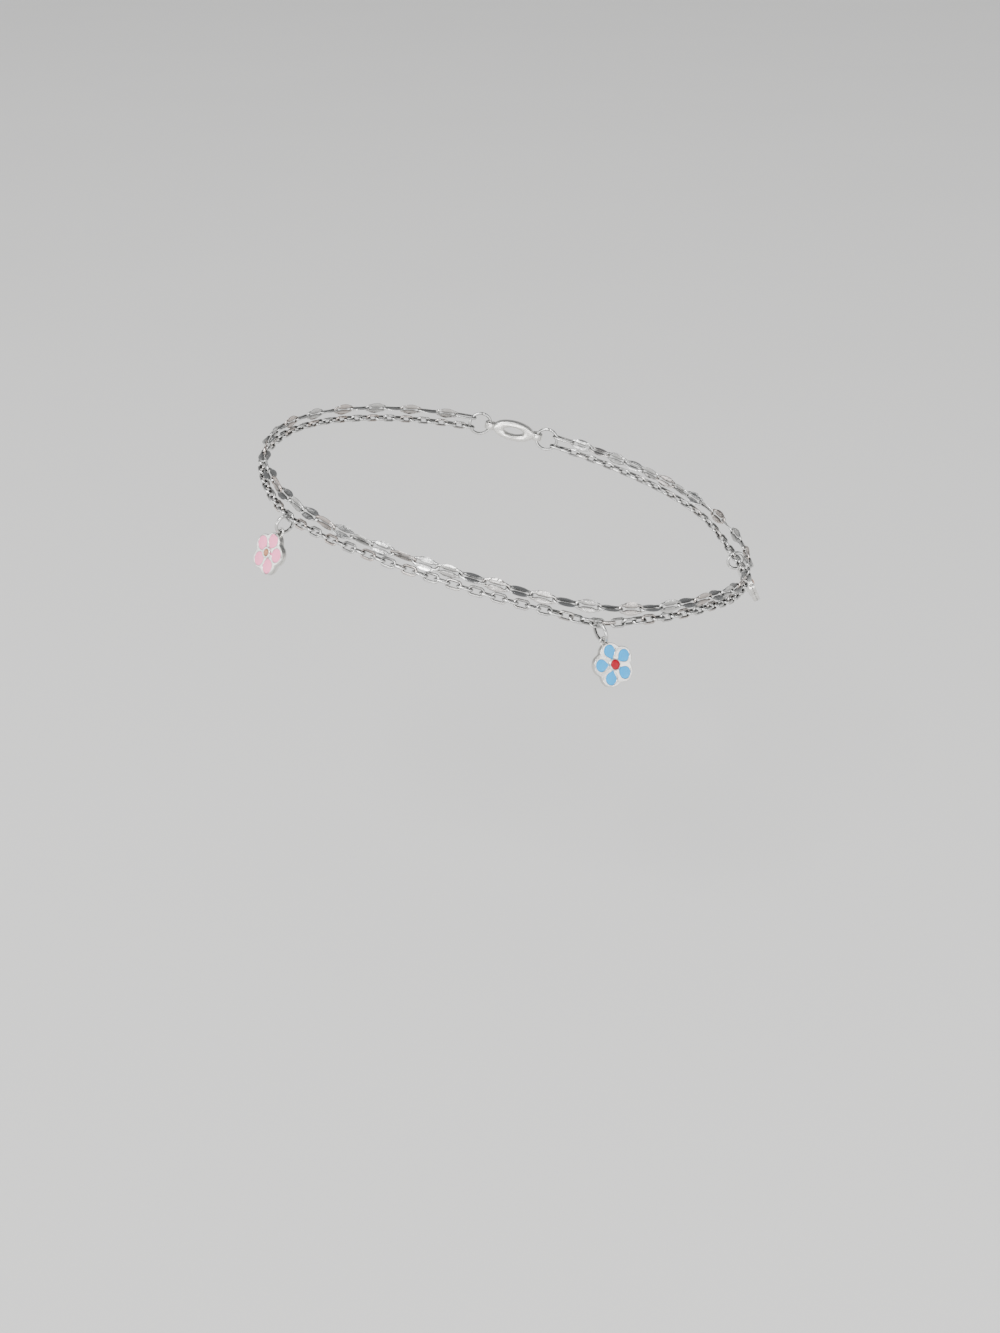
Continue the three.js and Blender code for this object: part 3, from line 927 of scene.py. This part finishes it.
@dataclass
class Strand:
    """A chain strand of whole links, each turned from its neighbours."""

    name: str
    node: str
    line: StrandLine
    clasp: ClaspSet
    pitch: float
    wire: float
    half_turn: float
    mean_turn: Callable[[float], float]
    finish: SteelFinish
    bite: float = 0.05
    slack: float = 0.05
    end_turn: float = 90.0
    fixed_turns: dict[int, float] = field(default_factory=dict)

    def spread(self) -> tuple[float, float, int]:
        """The first link's distance from the clasp, the true pitch and the number of links."""
        reach = math.sqrt(self.clasp.ring_radius ** 2 - self.clasp.half_spread ** 2)
        slant = self.clasp.half_spread / reach * self.wire / 2
        hook = self.clasp.ring_along + reach
        first = hook - self.clasp.ring_wire / 2 - self.slack - slant + (self.pitch - self.bite) / 2
        gaps = round((self.line.loop.length - 2 * first) / self.pitch)
        return first, (self.line.loop.length - 2 * first) / gaps, gaps + 1

    def turn(self, link: int, distance: float, count: int) -> float:
        """The turn of one link about the strand, in degrees."""
        if link in (0, count - 1):
            return self.end_turn
        if link in self.fixed_turns:
            return self.fixed_turns[link]
        sign = 1 if link % 2 == 0 else -1
        return self.mean_turn(distance / self.line.loop.length) + sign * self.half_turn

    def carrier(self, is_oval: Callable[[int], bool]) -> Object:
        """Makes the points that the links hang on.

        Args:
            is_oval: says for each link whether it is a plain oval one.

        Returns:
            An object of loose points with each link's directions and tone.
        """
        first, pitch, count = self.spread()
        distances = [first + link * pitch for link in range(count)]
        places = [self.line.place(distance, self.turn(link, distance, count))
                  for link, distance in enumerate(distances)]
        mesh = bpy.data.meshes.new(self.name)
        mesh.from_pydata([place.translation * MM for place in places], [], [])

        def carry(label: str, data_type: str, key: str, values: list) -> None:
            """Gives each point a value of its own."""
            mesh.attributes.new(label, data_type, "POINT").data.foreach_set(key, values)

        for label, column in (("along", 0), ("face", 2)):
            numbers = [number for place in places for number in place.col[column].to_3d()]
            carry(label, "FLOAT_VECTOR", "vector", numbers)
        carry("tone", "FLOAT", "value", [self.tone(link) for link in range(count)])
        carry("is_oval", "BOOLEAN", "value", [is_oval(link) for link in range(count)])
        return show(self.name, mesh)

    def tone(self, link: int) -> float:
        """How warm a link's steel is, from 0 to 1, without a rhythm that shows."""
        return max(0.0, math.prod(math.sin(link * turn) for turn in TONE_TURNS)) ** 2

    def build(self, oval: OvalLink, leaf: LeafLink | None = None) -> None:
        """Hangs the links and turns the result into a plain mesh.

        Args:
            oval: the plain oval link.
            leaf: the leaf link of every place but the ends, or None for a strand of oval links.
        """
        _, _, count = self.spread()
        carrier = self.carrier(lambda i: leaf is None or i in (0, count - 1))
        material = self.finish.material()
        source = leaf.build(material) if leaf else None
        tree = strand_tree()
        hang = carrier.modifiers.new("links", "NODES")
        hang.node_group = tree
        values = {**oval.sizes(), "Leaf Link": source, "Finish": material}
        for item in tree.interface.items_tree:
            if item.name in values and item.in_out == "INPUT" and values[item.name] is not None:
                hang[item.identifier] = values[item.name]
        depsgraph = bpy.context.evaluated_depsgraph_get()
        whole = bpy.data.meshes.new_from_object(
            carrier.evaluated_get(depsgraph), preserve_all_data_layers=True, depsgraph=depsgraph)
        bpy.data.objects.remove(carrier)
        if source:
            bpy.data.objects.remove(source)
        finish_piece(self.name, whole, [self.node])


# The charms

@dataclass(frozen=True)
class Hang:
    """How a charm hangs: share of the way round, and the degrees of its face, flare and swing."""

    at: float
    face: float
    flare: float
    swing: float

    def basis(self) -> Matrix:
        """The charm's turn: x to the side, y up towards the ring, z out of its face."""
        turn, rise = math.radians(self.face), math.radians(self.flare)
        level = math.cos(rise)
        out = Vector((math.sin(turn) * level, -math.cos(turn) * level, math.sin(rise)))
        side = Vector((math.cos(turn), math.sin(turn), 0))
        rows = Matrix((side, out.cross(side), out)).transposed().to_4x4()
        return rows @ Matrix.Rotation(math.radians(self.swing), 4, "Z")


@dataclass
class FlowerCharm:
    """A cast flower with five enamelled petals and a domed dot, hung by a jump ring."""

    name: str
    hang: Hang
    enamel: EnamelShade
    dot: EnamelShade
    petals: int = 5
    radius: float = 3.25
    petal_radius: float = 1.62
    thickness: float = 1.0
    rim: float = 0.3
    rib: float = 0.7
    cell_depth: float = 0.35
    boss_radius: float = 0.8
    boss_rise: float = 0.3
    dot_radius: float = 0.62
    dot_rise: float = 0.5
    eyelet_radius: float = 0.56
    eyelet_wire: float = 0.36
    eyelet_reach: float = 0.3
    eyelet_lift: float = 0.35
    ring_radius: float = 1.4
    ring_wire: float = 0.5
    ring_cut: float = 0.05
    ring_cut_at: float = -12.0
    back_edge: float = 0.098
    face_edge: float = 0.105
    boss_edge: float = 0.1
    seat_gap: float = 0.03
    seat_depth: float = 0.2
    tip_bite: float = 0.06
    bite: float = 0.02
    clearance: float = 0.01
    enamel_drop: float = 0.035
    enamel_edge: float = 0.08
    round_steps: int = 32
    dome_steps: int = 6

    @property
    def eyelet_along(self) -> float:
        """The eyelet's distance from the flower's middle."""
        return self.radius + self.eyelet_reach

    @property
    def boss_top(self) -> float:
        """The height of the boss over the flower's back."""
        return self.thickness + self.boss_rise

    @property
    def cell_radius(self) -> float:
        """The radius of a cell's round end, which leaves the rim and a rib to the next cell."""
        slope = math.sin(math.pi / self.petals)
        return ((self.radius - self.rim) * slope - self.rib / 2) / (1 + slope)

    def petal_angle(self, petal: int) -> float:
        """The angle of a petal in the face, the first one upwards."""
        return math.pi / 2 + 2 * math.pi * petal / self.petals

    def outline(self, steps: int = 14) -> list[Point2]:
        """The lobed outline, anticlockwise."""
        centre = self.radius - self.petal_radius
        half = math.pi / self.petals
        middle = centre * math.sin(half)
        notch = centre * math.cos(half) + math.sqrt(self.petal_radius ** 2 - middle ** 2)
        sweep = math.atan2(notch * math.sin(half), notch * math.cos(half) - centre)
        points = []
        for petal in range(self.petals):
            angle = self.petal_angle(petal)
            for step in range(steps):
                turn = angle - sweep + 2 * sweep * (step + 0.5) / steps
                points.append((centre * math.cos(angle) + self.petal_radius * math.cos(turn),
                               centre * math.sin(angle) + self.petal_radius * math.sin(turn)))
        return points

    def cell(self, petal: int, grow: float, *, is_hole: bool, steps: int = 16) -> list[Point2]:
        """A drop-shaped cell with its tip to the middle, grown by a little."""
        centre = self.radius - self.rim - self.cell_radius
        tip = self.boss_radius - self.tip_bite - grow
        round_ = self.cell_radius + grow
        taper = math.acos(round_ / (centre - tip))
        sweep = math.pi - taper
        points = [(tip, 0.0)]
        for step in range(steps + 1):
            turn = -sweep + 2 * sweep * step / steps
            points.append((centre + round_ * math.cos(turn), round_ * math.sin(turn)))
        turned = self.petal_angle(petal)
        aim, across = math.cos(turned), math.sin(turned)
        spun = [(x * aim - y * across, x * across + y * aim) for x, y in points]
        return spun[::-1] if is_hole else spun

    def place(self, hook: Vector) -> Matrix:
        """The flower's place under the point where its ring hooks on."""
        basis = self.hang.basis()
        up, out = basis.col[1].to_3d(), basis.col[2].to_3d()
        back = out * self.eyelet_lift
        centre = hook - up * (2 * self.ring_radius + self.eyelet_along) - back
        return Matrix.Translation(centre) @ basis

    def boss_profile(self, floor: float) -> list[Point2]:
        """The section of the boss, from its foot at the cells' floor to the dot's seat."""
        outer, seat, edge = self.boss_radius, self.dot_radius + self.seat_gap, self.boss_edge
        top, bottom = self.boss_top, self.boss_top - self.seat_depth
        return [(0, floor), (outer, floor), (outer, top - edge),
                (outer - 0.3 * edge, top - 0.3 * edge), (outer - 0.9 * edge, top),
                (seat + 0.3 * edge, top), (seat, top - 0.4 * edge), (seat, bottom), (0, bottom)]

    def put(self, work: MeshBuilder, label: str, finish: FinishChoice, place: Matrix,
            *parts: str) -> None:
        """Puts a piece in the scene that stands for some of the charm's CAD nodes."""
        nodes = [f"{self.name}_{part}" for part in parts]
        work.piece(f"{self.name}_{label}", finish, place, nodes)

    def build_casting(self, place: Matrix) -> None:
        """Builds the casting: back plate, ribbed face, boss and eyelet."""
        work = MeshBuilder()
        floor = self.thickness - self.cell_depth
        outline = self.outline()
        work.plate([outline], 0.0, floor + self.bite, self.back_edge, steps=2)
        cells = [self.cell(petal, 0.0, is_hole=True) for petal in range(self.petals)]
        work.plate([outline, *cells], floor / 2, self.thickness, self.face_edge)
        work.lathe(self.boss_profile(floor), self.round_steps)
        lift = Matrix.Translation((0, self.eyelet_along, self.eyelet_lift))
        work.ring(self.eyelet_radius, self.eyelet_wire, lift, steps=24, sides=10)
        self.put(work, "cast_body", SteelFinish.CAST, place, "casting")

    def build_enamel(self, place: Matrix) -> None:
        """Fills the five cells with enamel that stands a hair under the rim."""
        work = MeshBuilder()
        foot = self.thickness - self.cell_depth - self.bite
        for petal in range(self.petals):
            shape = self.cell(petal, self.clearance, is_hole=False)
            work.plate([shape], foot, self.thickness - self.enamel_drop, self.enamel_edge)
        parts = [f"petal_{petal + 1}" for petal in range(self.petals)]
        self.put(work, "enamel", self.enamel, place, *parts)

    def build_dot(self, place: Matrix) -> None:
        """Sets the domed dot in the boss."""
        work = MeshBuilder()
        rise = self.dot_rise - self.boss_rise
        foot = self.boss_top - self.seat_depth + self.clearance
        angles = [math.pi / 2 * step / self.dome_steps for step in range(self.dome_steps)]
        dome = [(self.dot_radius * math.cos(a), self.boss_top + rise * math.sin(a))
                for a in angles]
        work.lathe([(0, foot), (self.dot_radius, foot), *dome, (0, self.boss_top + rise)],
                   self.round_steps)
        self.put(work, "centre", self.dot, place, "dot")

    def build_ring(self, hook: Vector) -> None:
        """Builds the jump ring with its fine cut at the side."""
        basis = self.hang.basis()
        centre = hook - basis.col[1].to_3d() * self.ring_radius
        upright = basis @ Matrix.Rotation(math.pi / 2, 4, "Y")
        work = MeshBuilder()
        work.ring(self.ring_radius, self.ring_wire, Matrix.Translation(centre) @ upright,
                  gap=self.ring_cut, at=self.ring_cut_at)
        self.put(work, "ring_wire", SteelFinish.DRAWN, Matrix.Identity(4), "jump_ring")

    def build(self, hook: Vector) -> None:
        """Builds the whole charm under its hook."""
        place = self.place(hook)
        self.build_casting(place)
        self.build_enamel(place)
        self.build_dot(place)
        self.build_ring(hook)


@dataclass
class Anklet:
    """The whole anklet on its leaning loop."""

    loop: Loop = field(default_factory=Loop)
    leaf_pitch: float = 3.4
    leaf_wire: float = 0.35
    leaf_half_turn: float = 35
    plain_width: float = 1.9
    cable_pitch: float = 1.645
    cable_wire: float = 0.42
    cable_half_turn: float = 38
    cable_width: float = 1.55
    charms: tuple = (
        FlowerCharm("left_flower", Hang(0.3403, -47, 25, -13), EnamelShade.PINK,
                    EnamelShade.PEACH, rim=0.2, rib=0.35, boss_radius=0.88, dot_radius=0.48),
        FlowerCharm("middle_flower", Hang(0.5604, 30, 25, 9), EnamelShade.BLUE,
                    EnamelShade.RED, boss_radius=0.88, dot_radius=0.7),
        FlowerCharm("right_flower", Hang(0.7806, 100, 27, 0), EnamelShade.MAUVE,
                    EnamelShade.PEACH),
    )

    def ring_turn(self, charm: FlowerCharm, line: StrandLine, distance: float) -> float:
        """The turn that lays a link's hole across a charm's ring."""
        _, up, out = line.basis(distance)
        through = charm.hang.basis().col[2].to_3d()
        return math.degrees(math.atan2(through.dot(up), through.dot(out)))

    def build(self) -> None:
        """Builds the clasp set, both strands and the charms, in that order."""
        clasp = ClaspSet(self.loop)
        clasp.build()

        def line(column: int) -> StrandLine:
            """The line of the upper or lower strand."""
            return StrandLine(self.loop, lambda share: route_value(share, column))

        upper = Strand(
            "leaf_links", "leaf_link_strand", line(UPPER), clasp, self.leaf_pitch, self.leaf_wire,
            self.leaf_half_turn, lambda share: route_value(share, LEAF_TURN), SteelFinish.HAMMERED)
        _, pitch, _ = upper.spread()
        plain = OvalLink(pitch, self.plain_width, self.leaf_wire)
        upper.build(plain, LeafLink(pitch, self.leaf_wire))

        lower = Strand(
            "cable_links", "cable_strand", line(LOWER), clasp, self.cable_pitch, self.cable_wire,
            self.cable_half_turn, cable_turn, SteelFinish.DRAWN)
        first, pitch, _ = lower.spread()
        for charm in self.charms:
            link = round((charm.hang.at * self.loop.length - first) / pitch)
            distance = first + link * pitch
            lower.fixed_turns[link] = self.ring_turn(charm, lower.line, distance)
            charm.build(lower.line.point(distance))
        lower.build(OvalLink(pitch, self.cable_width, self.cable_wire))


# The studio

@dataclass(frozen=True)
class Studio:
    """The floor, the soft lights and the camera."""

    floor_height: float = -0.075
    floor_size: float = 8.0
    floor_colour: tuple = (0.72, 0.715, 0.70, 1.0)
    floor_roughness: float = 0.7
    grain_shade: float = 0.96
    wall_colour: tuple = (0.72, 0.72, 0.71, 1.0)
    ceiling_colour: tuple = (0.28, 0.285, 0.295, 1.0)
    wall_top: Point2 = (0.08, 0.3)
    sky_power: float = 3.2
    sky_width: float = 24.0
    sky_turn: Point2 = (38.0, -22.0)
    light_spread: float = 120.0
    # Each light's name, place, size and power
    lights: tuple = (
        ("top_light", (-0.18, -0.2, 1.75), (1.75, 0.7), 7.0),
        ("window_light", (-0.5, -0.05, 0.12), (0.36, 0.3), 0.5),
        ("front_light", (0.1, -0.46, 0.36), (0.3, 0.1), 0.3),
        ("low_light", (0.0, -0.3, -0.035), (0.5, 0.06), 0.4),
        ("side_light", (0.48, -0.26, 0.12), (0.2, 0.3), 0.3),
    )
    camera_place: tuple = (0.0, -0.23522, 0.09315)
    camera_turn: float = 0.44
    camera_tip: float = 27.62
    lens: float = 43.2
    nearest: float = 0.005

    def build_floor(self) -> None:
        """Lays the pale floor."""
        half = self.floor_size / 2
        mesh = bpy.data.meshes.new("floor")
        corners = [(-half, -half), (half, -half), (half, half), (-half, half)]
        mesh.from_pydata([(x, y, self.floor_height) for x, y in corners], [], [(0, 1, 2, 3)])
        material, graph, shader = new_material("pale_floor")
        darker = tuple(value * self.grain_shade for value in self.floor_colour[:3]) + (1.0,)
        colour = graph.blend(graph.noise(Scale=60.0, Detail=3.0), self.floor_colour, darker)
        graph.fill(shader, {"Base Color": colour, "Roughness": self.floor_roughness})
        mesh.materials.append(material)
        floor = show("floor", mesh)

    def build_walls(self) -> None:
        """Surrounds the floor with pale walls that fade into a dark ceiling."""
        world = bpy.data.worlds.new("studio")
        world.use_nodes = True
        graph = Graph(world.node_tree)
        outwards = graph.add("ShaderNodeTexCoord").outputs["Generated"]
        share = graph.add("ShaderNodeMapRange", {"interpolation_type": "SMOOTHSTEP"}, {
            "Value": graph.parts(outwards)["Z"], "From Min": self.wall_top[0],
            "From Max": self.wall_top[1]}).outputs[0]
        colour = graph.blend(share, self.wall_colour, self.ceiling_colour)
        graph.fill(world.node_tree.nodes["Background"], {"Color": colour})
        bpy.context.scene.world = world

    def build_sky_light(self) -> None:
        """Adds the wide, even light that reaches the far floor."""
        data = bpy.data.lights.new("sky_light", "SUN")
        data.energy = self.sky_power
        data.angle = math.radians(self.sky_width)
        show("sky_light", data).rotation_euler = (*map(math.radians, self.sky_turn), 0)

    def build_lights(self) -> None:
        """Hangs the soft lights, which look at the anklet."""
        for name, place, size, power in self.lights:
            data = bpy.data.lights.new(name, "AREA")
            data.shape = "RECTANGLE"
            data.size, data.size_y = size
            data.energy = power
            data.spread = math.radians(self.light_spread)
            light = show(name, data)
            light.location = place
            light.rotation_euler = (-Vector(place)).to_track_quat("-Z", "Y").to_euler()
            light.visible_camera = False

    def build_camera(self) -> None:
        """Sets the camera at the viewing angle of the whole picture."""
        data = bpy.data.cameras.new("camera")
        data.lens = self.lens
        data.sensor_fit = "AUTO"
        data.clip_start = self.nearest
        camera = show("camera", data)
        turn, tip = math.radians(self.camera_turn), math.radians(self.camera_tip)
        camera.location = self.camera_place
        camera.rotation_euler = (math.pi / 2 - tip, 0, turn)
        bpy.context.scene.camera = camera

    def build(self) -> None:
        """Builds the floor, the walls, the lights and the camera."""
        self.build_floor()
        self.build_walls()
        self.build_sky_light()
        self.build_lights()
        self.build_camera()


def main() -> None:
    """Builds the studio and the anklet."""
    logging.basicConfig(level=logging.INFO, format="%(name)s %(message)s")
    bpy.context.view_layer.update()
    Studio().build()
    Anklet().build()


if __name__ == "__main__":
    main()
